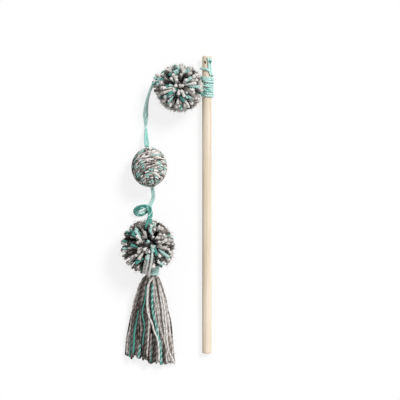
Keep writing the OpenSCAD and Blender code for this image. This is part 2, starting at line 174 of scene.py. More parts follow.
def dyed(code):
    """Linear colour of a colour written as six hexadecimal digits."""
    parts = np.array([int(code[i:i + 2], 16) for i in (0, 2, 4)]) / 255
    return (*np.where(parts <= 0.04045, parts / 12.92, ((parts + 0.055) / 1.055) ** 2.4), 1.0)


def feed(node, inputs):
    """Gives each input of a node, by its name or number, a value or the link from an output."""
    for name, value in inputs.items():
        if isinstance(value, bpy.types.NodeSocket):
            node.id_data.links.new(value, node.inputs[name])
        else:
            node.inputs[name].default_value = value


def wired(tree, kind, output, inputs=(), **settings):
    """Adds a node with its settings, feeds its inputs and gives back the output asked for."""
    node = tree.nodes.new("ShaderNode" + kind)
    for name, value in settings.items():
        setattr(node, name, value)
    feed(node, dict(inputs))
    return node.outputs[output]


def tinted(tree, factor, a, b, way="MIX"):
    """Colour a, taken by the factor towards colour b or, to MULTIPLY, towards a times b."""
    return wired(tree, "Mix", "Result", {"Factor": factor, "A": a, "B": b},
                 data_type="RGBA", blend_type=way)


def ranged(tree, value, low=0.0, high=1.0, to_low=0.0, to_high=1.0):
    """A value between low and high, taken to the same place between two others and held there."""
    return wired(tree, "MapRange", "Result", {"Value": value, "From Min": low, "From Max": high,
                                              "To Min": to_low, "To Max": to_high})


def fibre_group():
    """Node group of spun fibre. Two noises that are stretched along the lay make pale and dark
    fibres and the bump between them, and a third, slow one makes the yarn thick and thin."""
    group = bpy.data.node_groups.new("spun fibre", "ShaderNodeTree")
    for side, name, kind, value in (
            ("INPUT", "Map", "Vector", (0, 0, 0)), ("INPUT", "Shade", "Color", (0.5, 0.5, 0.5, 1)),
            ("INPUT", "Depth", "Float", 0.5), ("INPUT", "Slubs", "Float", 0.3),
            ("INPUT", "Contrast", "Float", 0.75), ("OUTPUT", "Colour", "Color", (0, 0, 0, 1)),
            ("OUTPUT", "Height", "Float", 0.0), ("OUTPUT", "Roughness", "Float", 0.0)):
        socket = group.interface.new_socket(name, in_out=side, socket_type="NodeSocket" + kind)
        socket.default_value = value
    given = group.nodes.new("NodeGroupInput").outputs
    fibres = []
    for scale, stretch in ((9.0, 0.35), (23.0, 0.22)):
        slanted = wired(group, "Mapping", "Vector", {
            "Vector": given["Map"], "Rotation": (0, 0, 0.5), "Scale": (1.0, stretch, 1.0)})
        fibres.append(wired(group, "TexNoise", "Fac", {
            "Vector": slanted, "Scale": scale, "Detail": 3}))
    both = wired(group, "Math", 0, {0: fibres[0], 1: fibres[1]}, operation="ADD")
    spread = ranged(group, both, 0.7, 1.3)
    slow = wired(group, "TexNoise", "Fac", {"Vector": given["Map"], "Scale": 1.3})
    dark = tinted(group, given["Contrast"], given["Shade"], (0.5, 0.48, 0.47, 1), "MULTIPLY")
    pale = tinted(group, 0.04, given["Shade"], (1, 1, 1, 1))
    slubbed = wired(group, "HueSaturation", "Color", {
        "Value": ranged(group, slow, 0.3, 0.7, 0.88, 1.1),
        "Color": tinted(group, spread, dark, pale)})
    deep = wired(group, "Math", 0, {0: spread, 1: given["Depth"]}, operation="MULTIPLY")
    thick = wired(group, "Math", 0, {0: slow, 1: given["Slubs"], 2: deep}, operation="MULTIPLY_ADD")
    feed(group.nodes.new("NodeGroupOutput"), {
        "Colour": slubbed, "Height": thick,
        "Roughness": ranged(group, spread, to_low=0.98, to_high=0.78)})
    return group


spun_fibre = fibre_group()


def yarn_finish(name, dyes, contrast, sheen):
    """Material of soft acrylic yarn. The dye kept on the mesh, from 0 to 1, picks one colour out
    of the list, in equal steps, and the fibre group breaks it up."""
    material = bpy.data.materials.new(name)
    material.use_nodes = True
    tree = material.node_tree
    picked = wired(tree, "Attribute", "Fac", attribute_name="dye")
    shade = wired(tree, "ValToRGB", "Color", {"Fac": picked})
    ramp = shade.node.color_ramp
    ramp.interpolation = "CONSTANT"
    ramp.elements.remove(ramp.elements[1])
    for i in range(1, len(dyes)):
        ramp.elements.new(i / len(dyes))
    for stop, code in zip(ramp.elements, dyes):
        stop.color = dyed(code)
    fibre = wired(tree, "Group", "Colour", {
        "Map": wired(tree, "UVMap", "UV", uv_map="round_and_along"), "Shade": shade,
        "Depth": 0.7, "Slubs": 0.4, "Contrast": contrast}, node_tree=spun_fibre).node.outputs
    bump = wired(tree, "Bump", "Normal", {
        "Strength": 0.5, "Distance": 0.0003, "Height": fibre["Height"]})
    feed(tree.nodes["Principled BSDF"], {
        "Base Color": fibre["Colour"], "Roughness": fibre["Roughness"], "Normal": bump,
        "Specular IOR Level": 0.15, "Sheen Weight": sheen, "Sheen Roughness": 0.5})
    return material


def dress(piece, yarn, slot, body, *replaced):
    """Gives a piece its yarn and has it ride on a body in place of the solids that are named, if
    any are. The slot is not used."""
    piece.data.materials.append(yarn)
    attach(piece, body)
    if replaced:
        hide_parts(*replaced)
    return piece


aqua_yarn = yarn_finish("aqua yarn", ["D2F7F1", "A4E2D8", "49A293"], 0.4, 0.25)


def aqua(chart):
    """Dyes written as a chart, a letter each: l is the light aqua, m the middle, d the deep one."""
    return [("lmd".index(letter) + 0.5) / 3 for letter in chart]


def aqua_length(name, paths, width, lay, dyes, body, *replaced):
    """Plied aqua yarn along one path or several, with a dye for each ply. One that would go
    through the table lies on it."""
    paths = paths.reshape(-1, *paths.shape[-2:])
    piece = yarn_piece(name, above_floor(plied(paths, width, lay)), dyes, lay)
    return dress(piece, aqua_yarn, "aqua_yarn", body, *replaced)


middle_route = mm([
    [-13.8, 126.4, 19.4], [-16, 122.8, 16], [-18.4, 117, 11], [-20.2, 111, 6.6], [-21.4, 104, 3.4],
    [-21.9, 96, 2], [-21.8, 88, 2], [-21.5, 80, 4], [-21, 72, 8.8], [-20.6, 66.8, 12.8],
    [-20.4, 64, 14.8]])
middle_path = smooth_path(middle_route, 36)
cord_yarn_width, cord_lay = 0.0026, 0.0080


def twin(path, shares, apart, turns, count):
    """Two yarns on either side of a path. At each share of its length they lie `apart` and stand
    at the angle `turns`, in whole turns, about it."""
    fine = smooth_path(path, count)[None]
    side, up = across(fine)
    share = np.linspace(0, 1, count)
    half = np.interp(share, shares, apart)[:, None] / 2
    angle = 2 * math.pi * np.interp(share, shares, turns)[:, None]
    arm = half * (np.cos(angle) * side[0] + np.sin(angle) * up[0])
    return np.stack([fine[0] + arm, fine[0] - arm])


def along_dyes(count, shares, charts):
    """Dye of each ply at each ring: a ply has the dyes of its chart, stretch by stretch of the
    cord, a stretch running up to its share of the length."""
    stretch = np.searchsorted(shares, np.linspace(0, 1, count), side="left")
    return np.array([aqua(chart) for chart in charts])[:, np.minimum(stretch, len(shares) - 1)]


middle_count = 110
middle_yarns = twin(middle_path, [0, 0.13, 0.33, 0.5, 0.6, 0.81, 0.93, 1],
                    mm([2, 2, 2.1, 3.1, 2, 2.4, 3, 2]),
                    [0.16, 0.06, 0.15, 0.25, 0.46, 0.68, 0.75, 0.8], middle_count)
# The first stretch below the upper pompom is all light aqua where the pompom's shadow falls on the
# cord: painted light. Further on, the plies mix light and middle aqua.
middle_dyes_and_painted_light = along_dyes(middle_count, [0.45, 0.7, 1.0], ["llm", "llm", "lmm", "llm", "lmm", "llm"])
middle_cord = aqua_length("middle_cord_yarns", middle_yarns, cord_yarn_width, cord_lay, middle_dyes_and_painted_light,
                          "ball_part", "middle_cord")

# ---------------------------------------- lower cord and its bow
# The same cord leaves the ball and makes one slipped loop, tilted so that its side towards the
# tassel lies low and its side towards the ball stands up. It comes back through its knot and goes
# up into the lower pompom as two legs.
lower_route = mm([
    [-14.7, 21.4, 13.3], [-14.2, 18, 11], [-14, 15, 7.8], [-14.3, 12, 5.2], [-15.6, 8.6, 3.6],
    [-17.2, 5.2, 2.9], [-18.9, 2.1, 2.5], [-21, -0.5, 2.3], [-23.7, -2.6, 2.2], [-26.8, -3.9, 2.3],
    [-29.8, -3.7, 3.1], [-31.8, -2, 4.8], [-31.7, 0.3, 6.8], [-29.5, 2.3, 8.2], [-26, 3.5, 8.9],
    [-22.4, 4, 8.7], [-19.6, 3.3, 8], [-17.9, 1.1, 7.1], [-17.2, -1.8, 6.2], [-17.3, -4.8, 6.7],
    [-17.8, -7.8, 9.8], [-18.5, -11.2, 14.8]])
lower_path = smooth_path(lower_route, 40)
lower_count = 150
lower_yarns = twin(lower_path, [0, 0.1, 0.3, 0.36, 0.46, 0.62, 0.7, 0.8, 0.9, 1],
                   mm([1.7, 1.7, 1.9, 2.7, 2.9, 2.7, 2.1, 2.3, 3.6, 4.8]),
                   [0.1, 0.02, 0.06, 0, -0.02, 0, 0.04, 0, 0, 0], lower_count)
lower_share = np.linspace(0, 1, lower_count)
lower_width = mm([
    np.interp(lower_share, [0, 0.3, 0.4, 0.78, 0.88, 1], [2.4, 2.4, 2.7, 2.5, 2.9, 3.2]),
    np.interp(lower_share, [0, 0.32, 0.42, 0.64, 0.72, 0.78, 0.88, 1],
              [2.4, 2.4, 3.5, 3.5, 2.6, 2.5, 2.9, 3.2])])
# All plies are light aqua on the first stretch from the ball, where the ball's shadow falls on the
# cord: painted light.
lower_dyes_and_painted_light = along_dyes(lower_count, [0.33, 0.5, 0.72, 1.0], [
    "lddd", "lmdm", "lddd", "llmd", "lldm", "lldd"])
lower_cord = aqua_length("lower_cord_yarns", lower_yarns, lower_width, cord_lay, lower_dyes_and_painted_light,
                         "lower_part", "lower_cord", "bow_loop", "bow_leg_left", "bow_leg_right")


def tipped(points, angle, origin):
    """Points turned about the X axis and then moved to their origin:
    (x, y cos angle - z sin angle, y sin angle + z cos angle) + origin."""
    x, y, z = np.moveaxis(np.asarray(points, float), -1, 0)
    c, s = math.cos(angle), math.sin(angle)
    return np.stack([x, y * c - z * s, y * s + z * c], axis=-1) + origin


def knot_path(centre, size, turn):
    """Overhand knot: a trefoil, x = sin t + 2 sin 2t, y = cos t - 2 cos 2t, z = -1.3 sin 3t, scaled
    to `size` across, with its height turned about the X axis by `turn`."""
    t = np.linspace(0.15, 2 * math.pi - 0.15, 90)
    knot = [np.sin(t) + 2 * np.sin(2 * t), np.cos(t) - 2 * np.cos(2 * t), -1.3 * np.sin(3 * t)]
    return tipped(np.stack(knot, axis=1) * size / 6, turn, centre)


bow_knot = aqua_length("bow_knot_yarn", knot_path((-0.0180, 0.0031, 0.0044), 0.0050, 1.1), 0.0020,
                       0.0060, aqua("lml"), "lower_part", "bow_knot")

# ---------------------------------------- stick
# A plain birch dowel with eased ends, sanded and left bare. Its pores and pale streaks run
# along it, and its ends show the rings of the end grain.
stick_lean = math.radians(0.3754)
stick_tip = np.array([0.0399, 0.1556, 0.0067154])


def wood_finish():
    """Bare birch: a noise stretched thirty times along the stick for the grain, a finer one for
    the pores, and, on the faces that look along the stick, rings of the end grain."""
    material = bpy.data.materials.new("bare birch")
    material.use_nodes = True
    tree = material.node_tree
    place = wired(tree, "TexCoord", "Object")
    along = wired(tree, "Mapping", "Vector", {
        "Vector": place, "Location": (-stick_tip[0], 0, -stick_tip[2]), "Scale": (1, 0.035, 1)})
    grain = wired(tree, "TexNoise", "Fac", {"Vector": along, "Scale": 420, "Detail": 4})
    pores = wired(tree, "TexNoise", "Fac", {"Vector": along, "Scale": 2600, "Detail": 2})
    tone = wired(tree, "ValToRGB", "Color", {"Fac": grain})
    stops = tone.node.color_ramp.elements
    stops[0].position, stops[0].color = 0.3, dyed("D9C6AC")
    stops[1].position, stops[1].color = 0.7, dyed("EFE1D0")
    pore = ranged(tree, pores, 0.62, 0.75)
    faint = wired(tree, "Math", 0, {0: pore, 1: 0.35}, operation="MULTIPLY")
    flank = tinted(tree, faint, tone, (0.62, 0.5, 0.38, 1), "MULTIPLY")
    pith = wired(tree, "Mapping", "Vector", {
        "Vector": place, "Location": (-stick_tip[0] + 0.006, 0, -stick_tip[2] + 0.004)})
    rings = wired(tree, "TexWave", "Fac", {
        "Vector": pith, "Scale": 260, "Distortion": 3, "Detail Scale": 200},
        wave_type="RINGS", rings_direction="Y")
    end_grain = tinted(tree, rings, dyed("C9A877"), dyed("E7CFA8"))
    facing = wired(tree, "SeparateXYZ", "Y", {"Vector": wired(tree, "NewGeometry", "Normal")})
    sawn = ranged(tree, wired(tree, "Math", 0, {0: facing}, operation="ABSOLUTE"), 0.6, 0.9)
    bump = wired(tree, "Bump", "Normal", {"Strength": 0.25, "Distance": 0.0001, "Height": pores})
    feed(tree.nodes["Principled BSDF"], {
        "Base Color": tinted(tree, sawn, flank, end_grain), "Normal": bump,
        "Roughness": ranged(tree, grain, to_low=0.5, to_high=0.7), "Specular IOR Level": 0.3})
    return material


bare_birch = wood_finish()
for slot in bpy.data.objects["stick"].material_slots:
    slot.material = bare_birch


# ---------------------------------------- yarn at the tip
# Yarn goes through the cross hole and is knotted beside it. One end crosses the stick once
# on its way down to the winding, the other lies doubled along the stick's right flank.
def on_stick(points):
    """Turns points given in the stick's own frame, z from the tip to the grip and y up, into
    the object's frame."""
    return tipped(points, math.pi / 2 + stick_lean, stick_tip)


def round_stick(radius, degrees, depth):
    """Points at a radius from the stick's axis, at angles about it and depths below the tip."""
    angle = np.radians(degrees)
    return on_stick(np.stack(np.broadcast_arrays(
        radius * np.cos(angle), radius * np.sin(angle), depth), axis=-1))


knot_lay = 0.0050
hole_route = mm([[-2.3, -4.3, 6.7], [-1, -1.9, 6.7], [0, 0, 6.7], [1, 1.9, 6.7], [2.2, 4.2, 6.7]])
aqua_length("hole_yarn_ends", smooth_path(on_stick(hole_route), 20), 0.0021, knot_lay,
            aqua("mmm"), "wand", "hole_yarn")
aqua_length("tip_knot_yarn", knot_path(round_stick(0.00645, 62, 0.0060), 0.0034, 0.6), 0.0013,
            knot_lay, aqua("ddd"), "wand", "tip_knot")

riser_angles = np.array([66, 60, 56, 54, 50, 42, 36])
riser_depths = mm([1.8, 4.0, 7.5, 11.0, 14.5, 17.5, 19.4])
riser_paths = np.stack([smooth_path(round_stick(0.0060, riser_angles + turn, riser_depths), 50)
                        for turn in (-4, 16)])
tip_yarn_width = 0.0022
aqua_length("tip_riser_yarns", riser_paths, tip_yarn_width, 0.0062, aqua("llllll"),
            "wand", "tip_riser")

lashing_angles = np.linspace(283, 42, 30)
lashing_depths = np.interp(lashing_angles, [42, 62, 90, 120, 180, 230, 283],
                           mm([18.0, 15.6, 13.7, 13.0, 12.6, 11.5, 8.6]))
lashing_path = smooth_path(round_stick(0.0059, lashing_angles, lashing_depths), 90)
aqua_length("tip_lashing_yarn", lashing_path, tip_yarn_width, 0.0058, aqua("llm"),
            "wand", "tip_lashing")

# ---------------------------------------- winding on the stick
# A little over nine turns of the same yarn are wound tight round the stick beside the upper
# pompom, each turn pressed against the last, with their plies standing up between them.
def drawn(shares, rng):
    """For each row of shares, the number of one of them, drawn in proportion to its size."""
    steps = np.cumsum(shares, axis=1)
    return np.sum(rng.uniform(0, 1, (len(shares), 1)) * steps[:, -1:] > steps[:, :-1], axis=1)


def mottled_and_shaded_across(path, stretch, dyes, edges, left, right, rng):
    """Dyes along one ply, drawn anew after each stretch of points, by shares that run from those of
    the left edge to those of the right edge. The random draw is the yarn's own mottle; the darker
    shares on the left are painted shade of the side away from the lamp."""
    side = np.clip((path[::stretch, 0] - edges[0]) / (edges[1] - edges[0]), 0, 1)[:, None]
    picked = drawn(np.array(left) * (1 - side) + np.array(right) * side, rng)
    return np.repeat(np.array(dyes)[picked], stretch)[:len(path)]


rng = np.random.default_rng(4)
winding_turns, winding_start = 9.2, 20
winding_top, winding_length = 0.0198, 0.0213
t = np.linspace(0, 1, 560)
sway = np.interp(t, np.linspace(0, 1, 28), rng.normal(0, 0.00034, 28))
winding_radius = 0.00590 + np.interp(t, np.linspace(0, 1, 40), rng.normal(0, 0.00014, 40))
winding_path = round_stick(winding_radius, winding_start - 360 * winding_turns * t,
                           winding_top + winding_length * t + sway)
# Deeper aqua on the stick's left flank, paler on its right: painted shade of the side away from the
# lamp, over the yarn's own mottle.
winding_shade_edges = stick_tip[0] + np.array([-0.0050, 0.0010])
winding_dyes_and_shade = [mottled_and_shaded_across(winding_path, 7, aqua("lmd"), winding_shade_edges, left, right, rng)
                for left, right in (([5, 3, 2], [9, 1, 0]), ([2, 3, 5], [8, 2, 0]),
                                    ([4, 4, 2], [8, 3, 0]))]
aqua_length("stick_winding_yarn", winding_path, 0.0023, 0.0064, winding_dyes_and_shade,
            "wand", "stick_winding")

# ---------------------------------------- upper pompom
# A few hundred cut ends of thick three-ply yarn in white, grey-brown and aqua, tied hard round
# the middle so that they spring out to a ball. Each end is loose and bloomed where it was cut.
mixed_dyes = ["FBF9F6", "E2DCD7", "AFA7A2", "736965", "302926", "BDEBE3", "52A698"]
mixed_yarn = yarn_finish("mixed yarn", mixed_dyes, 0.75, 0.12)
every_dye = white, pale_grey, grey, dark_grey, coal, mint, teal = (np.arange(7) + 0.5) / 7
yarn_lay, ply_depth, longest_fibre = 0.0062, 0.17, 0.0019


def tufted_rays(count, rng):
    """Directions in tufts of two. The tufts are spread evenly over a sphere by the golden angle
    and strayed a little, and the two strands of a tuft stand a small angle apart."""
    golden_angle, tuft_stray, strand_stray = 2.399963, 0.06, 0.085
    i = np.arange(count // 2)
    turn, z = golden_angle * i, 1 - 2 * (i + 0.5) / len(i)
    flat = np.sqrt(1 - z ** 2)
    tufts = np.stack([flat * np.cos(turn), flat * np.sin(turn), z], axis=1)
    rays = np.repeat(tufts + rng.normal(0, tuft_stray, tufts.shape), 2, axis=0)
    rays += rng.normal(0, strand_stray, rays.shape)
    return rays / np.linalg.norm(rays, axis=1, keepdims=True)


def tuft_dyes(count, shares, rng):
    """A dye for each strand, drawn by shares. The two strands of a tuft mostly have one dye."""
    p = np.array(shares) / np.sum(shares)
    own = rng.choice(every_dye, count, p=p)
    common = np.repeat(rng.choice(every_dye, count // 2, p=p), 2)
    alike = 0.55
    return np.where(rng.uniform(0, 1, count) < alike, common, own)


def clear_of(rays, origin, cords):
    """Which rays stand clear of the cords. A cord is a point that it passes through and the angle
    in degrees about it that is kept free."""
    keep = np.ones(len(rays), bool)
    for target, angle in cords:
        way = np.asarray(target) - origin
        keep &= rays @ (way / np.linalg.norm(way)) < math.cos(math.radians(angle))
    return keep


def dished(rise):
    """Share of the pompom's radius that is left where its outline faces along the tie's axis: the
    strands beside the parting are the shortest. `rise` is the cosine of the angle to the axis."""
    return 1 - 0.2 * np.abs(rise) ** 4


def pompom_strands(centre, waist, radius, rays, rng):
    """Strands from the waist to the trimmed outline. A strand leaves along its ray and leans away
    from the tie's axis on its way: waist + scale * (way * ray + way ** 2 * lean), the scale set so
    that its cut end lies on the outline. It is thin where it is tied and blooms towards that end:
    radius = root + (tip - root) * way ** 1.5, closed by a dome over its last part."""
    outward, stray = 0.65, 0.07
    lean = outward * rays * (1, 1, 0) + rng.normal(0, stray, rays.shape)
    ends = rays + lean
    size = np.linalg.norm(ends, axis=1)
    ends /= size[:, None]
    off = waist - centre
    along = ends @ off
    reach = -along + np.sqrt(radius ** 2 - off @ off + along ** 2)
    cut_lengths, cut_shares = [1.0, 0.95, 0.88, 0.8], [0.45, 0.3, 0.17, 0.08]
    reach *= dished(ends[:, 2]) * rng.choice(cut_lengths, len(rays), p=cut_shares)
    way = np.array([0.25, 0.42, 0.56, 0.69, 0.8, 0.89, 0.95, 0.975, 0.992, 1.0])
    paths = waist + (reach / size)[:, None, None] * (
        way[None, :, None] * rays[:, None] + (way ** 2)[None, :, None] * lean[:, None])
    root, tip = 0.0007, rng.uniform(0.0013, 0.0020, (len(rays), 1))
    dome = np.sqrt(np.clip(1 - (np.maximum(way - 0.94, 0) / 0.06) ** 2, 0.04, 1))
    turns = rng.uniform(0, 1, (len(rays), 1)) + run_of(paths) / yarn_lay
    return tubes(paths, (root + (tip - root) * way ** 1.5) * dome, 6, ply_depth, turns)


def dye_tufts(dyes, rings, tufts):
    """Gives the tufts that stand out at the front their own dye. A tuft is x and y in millimetres,
    and it is the strand whose outer part lies nearest, with a bonus for height."""
    outer_ring, height_bonus = 6, 0.35
    outer_x, outer_y, height = rings[:, outer_ring].mean(axis=1).T * 1000
    for dye, places in tufts:
        for x, y in places:
            away = np.hypot(outer_x - x, outer_y - y)
            dyes[np.argmin(away - height_bonus * height)] = dye
    return dyes


def mixed_strands(name, rings, dyes, body, *replaced):
    """A piece of mixed yarn, from the rings of its strands and a dye for each strand."""
    piece = yarn_piece(name, above_floor(rings), dyes, yarn_lay)
    dress(piece, mixed_yarn, "mixed_yarn", body, *replaced)


def loose_fibres(name, rings, dyes, body, each, first, rng):
    """Fine fibres that work loose from the first ring named to the cut end. Each leaves its strand
    and bends as it goes: start + reach * (s * lean + s ** 2 * bend), s from 0 to 1, as a sliver
    that thins to nothing."""
    middles = rings.mean(axis=2)
    strand = np.repeat(np.arange(len(rings)), each)
    n = len(strand)
    ring = rng.integers(first, middles.shape[1] - 1, n)
    out = middles[strand, ring + 1] - middles[strand, ring]
    out /= np.linalg.norm(out, axis=1, keepdims=True) + 1e-9
    off_middle, stray, curl = 0.0006, 0.8, 0.7
    start = middles[strand, ring] + rng.normal(0, off_middle, (n, 3))
    lean = out + rng.normal(0, stray, (n, 3))
    bend = rng.normal(0, curl, (n, 3))
    s = np.array([0, 0.4, 0.75, 1.0])[None, :, None]
    reach = longest_fibre * rng.uniform(0.4, 1, (n, 1, 1))
    paths = start[:, None] + reach * (s * lean[:, None] + s ** 2 * bend[:, None])
    slivers = tubes(paths, np.array([0.00009, 0.00008, 0.00006, 0.00003]), 3)
    mixed_strands(name, slivers, np.repeat(dyes, each), body)


def laid_strands(centre, radius, rows):
    """Strands that lie along the front of a pompom. A row gives x and y near the parting, then x
    and y at the cut end, in millimetres, and the dye. Their height is that of the outline, and
    6 mm less where they start."""
    ends = mm([row[:4] for row in rows]).reshape(-1, 2, 2)
    s = np.linspace(0, 1, 12)[None, :, None]
    flat = ends[:, :1] + (ends[:, 1:] - ends[:, :1]) * s
    off = ((flat - centre[:2]) ** 2).sum(axis=2, keepdims=True)
    rise = np.sqrt(np.maximum(radius ** 2 - off, 1e-6))
    root_depth, bedded = 0.006, 0.0004
    height = centre[2] + rise * dished(rise / radius) - root_depth * (1 - s) ** 1.5 - bedded
    paths = np.concatenate([flat, height], axis=2)
    width = np.interp(s[0, :, 0], [0, 0.6, 0.9, 0.97, 1], [0.0010, 0.0015, 0.0018, 0.0013, 0.0005])
    return tubes(paths, width, 8, ply_depth, run_of(paths) / yarn_lay)


def pompom(name, body, centre, waist, radius, count, seed, shares, cords, tufts, rows):
    """The three pieces of a pompom: the strands tied at its waist, except where they would meet a
    cord, the fibres loose on them, and the strands laid over its front."""
    rng = np.random.default_rng(seed)
    rays = tufted_rays(count, rng)
    dyes = tuft_dyes(count, shares, rng)
    keep = clear_of(rays, waist, cords)
    rings = pompom_strands(centre, waist, radius, rays[keep], rng)
    dyes = dye_tufts(dyes[keep], rings, tufts)
    mixed_strands(name + "_strands", rings, dyes, body, name)
    loose_fibres(name + "_fuzz", rings, dyes, body, 5, 4, rng)
    laid_dyes = [dye for *_, dye in rows]
    mixed_strands(name + "_laid", laid_strands(centre, radius, rows), laid_dyes, body)


upper_hitch_at, upper_stop_at = (0.0335, 0.1154, 0.0095), (-0.0125, 0.1278, 0.0205)
pompom(
    "upper_pompom", "upper_part", centre=np.array([0.01262, 0.1224, 0.0237]),
    waist=np.array([0.0128, 0.1224, 0.0237]), radius=0.0244, count=420, seed=11,
    shares=[43, 24, 14, 8, 3, 6, 3], cords=[(upper_hitch_at, 9), (upper_stop_at, 8)],
    tufts=[
        (coal, [(0, 131), (3, 135), (-3, 128), (18, 135), (-7, 112), (14, 131)]),
        (dark_grey, [(-4, 139), (29, 128), (6, 146), (22, 121), (20, 131), (5, 102)]),
        (mint, [(9, 136), (5, 123), (25, 111), (3, 106), (-12, 128), (12, 146)]),
        (teal, [(-1, 136), (-6, 131), (8, 144), (-8, 113)]),
        (white, [(-6, 122), (-6, 117), (4, 130), (8, 131), (10, 125), (10, 117), (17, 129),
                 (24, 125), (31, 128), (17, 116), (32, 110), (21, 106), (19, 143), (10, 102),
                 (14, 139), (28, 134), (10, 108), (6, 104), (3, 109), (0, 144), (28, 108)])],
    rows=[
        (9.8, 121.2, 1.4, 114.6, teal), (17.4, 126.4, 24.6, 132.6, mint),
        (21, 123.8, 32.4, 122.8, mint), (13.2, 113.8, 17.2, 108.2, teal),
        (16.4, 126.2, 19.4, 130.4, white), (18, 124.8, 29.6, 126.6, white),
        (12.2, 120.4, 11.6, 114.4, white), (15.2, 119.6, 17.6, 112.4, white),
        (9.6, 127, 8.6, 133.8, white), (7.4, 120.6, -4.6, 116.6, pale_grey),
        (7, 122.6, -5, 121.6, white), (19.8, 120.2, 28.8, 112.6, grey),
        (-6, 130, -13.4, 133.4, mint), (-6, 128.4, -14.2, 129.8, white),
        (-7, 124.6, -14, 124.2, grey), (-6, 121, -13, 119.4, dark_grey),
        (-6, 132, -11.6, 136.4, pale_grey), (-7, 127, -14.6, 127.2, mint),
        (-5.6, 130.6, -14.4, 125.2, teal)])

tie_width, tie_lay = 0.0021, 0.0062
upper_tie_route = mm([[19.5, 120, 21.6], [12.8, 122.4, 23.7], [6, 124, 23.6], [-1, 125.6, 22.8],
                      [-7, 126.8, 21.8], [-10.4, 127.5, 21.1]])
aqua_length("upper_tie_yarn", smooth_path(upper_tie_route, 60), tie_width, tie_lay,
            aqua("ddd"), "upper_part", "upper_pompom_tie")
hitch_route = mm([[33.2, 115.5, 10.2], [30.5, 116, 12.4], [27, 117, 15.4], [23, 118.6, 19],
                  [20, 119.8, 21.2]])
aqua_length("hitch_yarn_plies", smooth_path(hitch_route, 40), tie_width, tie_lay,
            aqua("ddd"), "upper_part", "hitch_yarn")
aqua_length("upper_stop_yarn", knot_path(upper_stop_at, 0.0040, 0.4), 0.0016, knot_lay,
            aqua("ddd"), "upper_part", "upper_stop_knot")

# ---------------------------------------- wound ball
# One long three-ply yarn, whose plies change from aqua to grey-brown, cream and near black, is
# wound in close rows round a core of older turns. The rows climb evenly from pole to pole of the
# leaning axis.
ball_centre = np.array([-0.0178, 0.0434, 0.01884])
ball_lean = math.radians(52)
half_length, half_width = 0.0211, 0.0181
# Aqua, grey-brown, cream, near black and pale grey. The shares below have the same order.
marled_dyes = ["98DAD0", "8A7F79", "FBF8F4", "3B3330", "D2CAC4"]
marled_yarn = yarn_finish("marled yarn", marled_dyes, 0.6, 0.2)
ball_plies = (np.arange(5) + 0.5) / 5
ball_yarn_width, ball_lay = 0.00275, 0.0084


def wound_path(turns, inset, start, end, count, rng, sway):
    """Spiral over a spheroid from one pole angle to the other, its polar angle even in the run of
    the meridian, swaying a little from row to row, laid over along the leaning axis."""
    share = np.linspace(0, 1, count)
    even = start + (end - start) * share
    polar = np.radians(even + 2.3 * np.sin(np.radians(2 * even)))
    polar = polar + np.interp(share, np.linspace(0, 1, 70), rng.normal(0, sway, 70))
    turn = 2 * math.pi * turns * share
    a, b = half_length - inset, half_width - inset
    spiral = [b * np.sin(polar) * np.cos(turn), b * np.sin(polar) * np.sin(turn), a * np.cos(polar)]
    return tipped(np.stack(spiral, axis=1), ball_lean, ball_centre)


rng = np.random.default_rng(23)
outer_rows = wound_path(21, 0.0013, 4, 176, 1600, rng, 0.010)
# More near black and less cream on the ball's left, more cream on its right: painted shade of the
# side away from the lamp, over the yarn's own mottle.
ball_shade_edges = ball_centre[0] + half_width * np.array([-1, 1])
ball_dyes_and_shade = [mottled_and_shaded_across(outer_rows, stretch, ball_plies, ball_shade_edges, left, right, rng)
             for stretch, left, right in ((4, [6, 2, 0, 4, 1], [5, 1, 4, 0, 2]),
                                          (5, [1, 4, 0, 7, 0], [0, 3, 3, 1, 3]),
                                          (4, [2, 4, 1, 2, 2], [1, 1, 7, 0, 2]))]
ball_rings = above_floor(plied(outer_rows[None], ball_yarn_width, -ball_lay))
dress(yarn_piece("ball_winding_yarn", ball_rings, ball_dyes_and_shade, ball_lay),
      marled_yarn, "marled_yarn", "ball_part", "ball_winding")

# The core is all near black: painted shade in the gaps between the outer rows.
inner_rows = wound_path(15, 0.0036, 6, 174, 700, rng, 0.004)[None]
core_rings = tubes(inner_rows, 0.0017, 8, 0.1, run_of(inner_rows) / ball_lay)
dress(yarn_piece("ball_core_yarn", core_rings, ball_plies[3], ball_lay),
      marled_yarn, "grey_yarn", "ball_part", "ball_core")

ball_cord_route = mm([[-19.5, 56.6, 14.6], [-18.6, 50, 14.5], [-17, 38, 14.3], [-15.8, 30, 14.1]])
aqua_length("ball_cord_yarn", smooth_path(ball_cord_route, 50), 0.0030, tie_lay, aqua("ddd"),
            "ball_part", "ball_cord")
aqua_length("ball_stop_yarn", knot_path((-0.0149, 0.0235, 0.0142), 0.0040, 0.9), 0.0016, knot_lay,
            aqua("lll"), "ball_part", "ball_stop_knot")

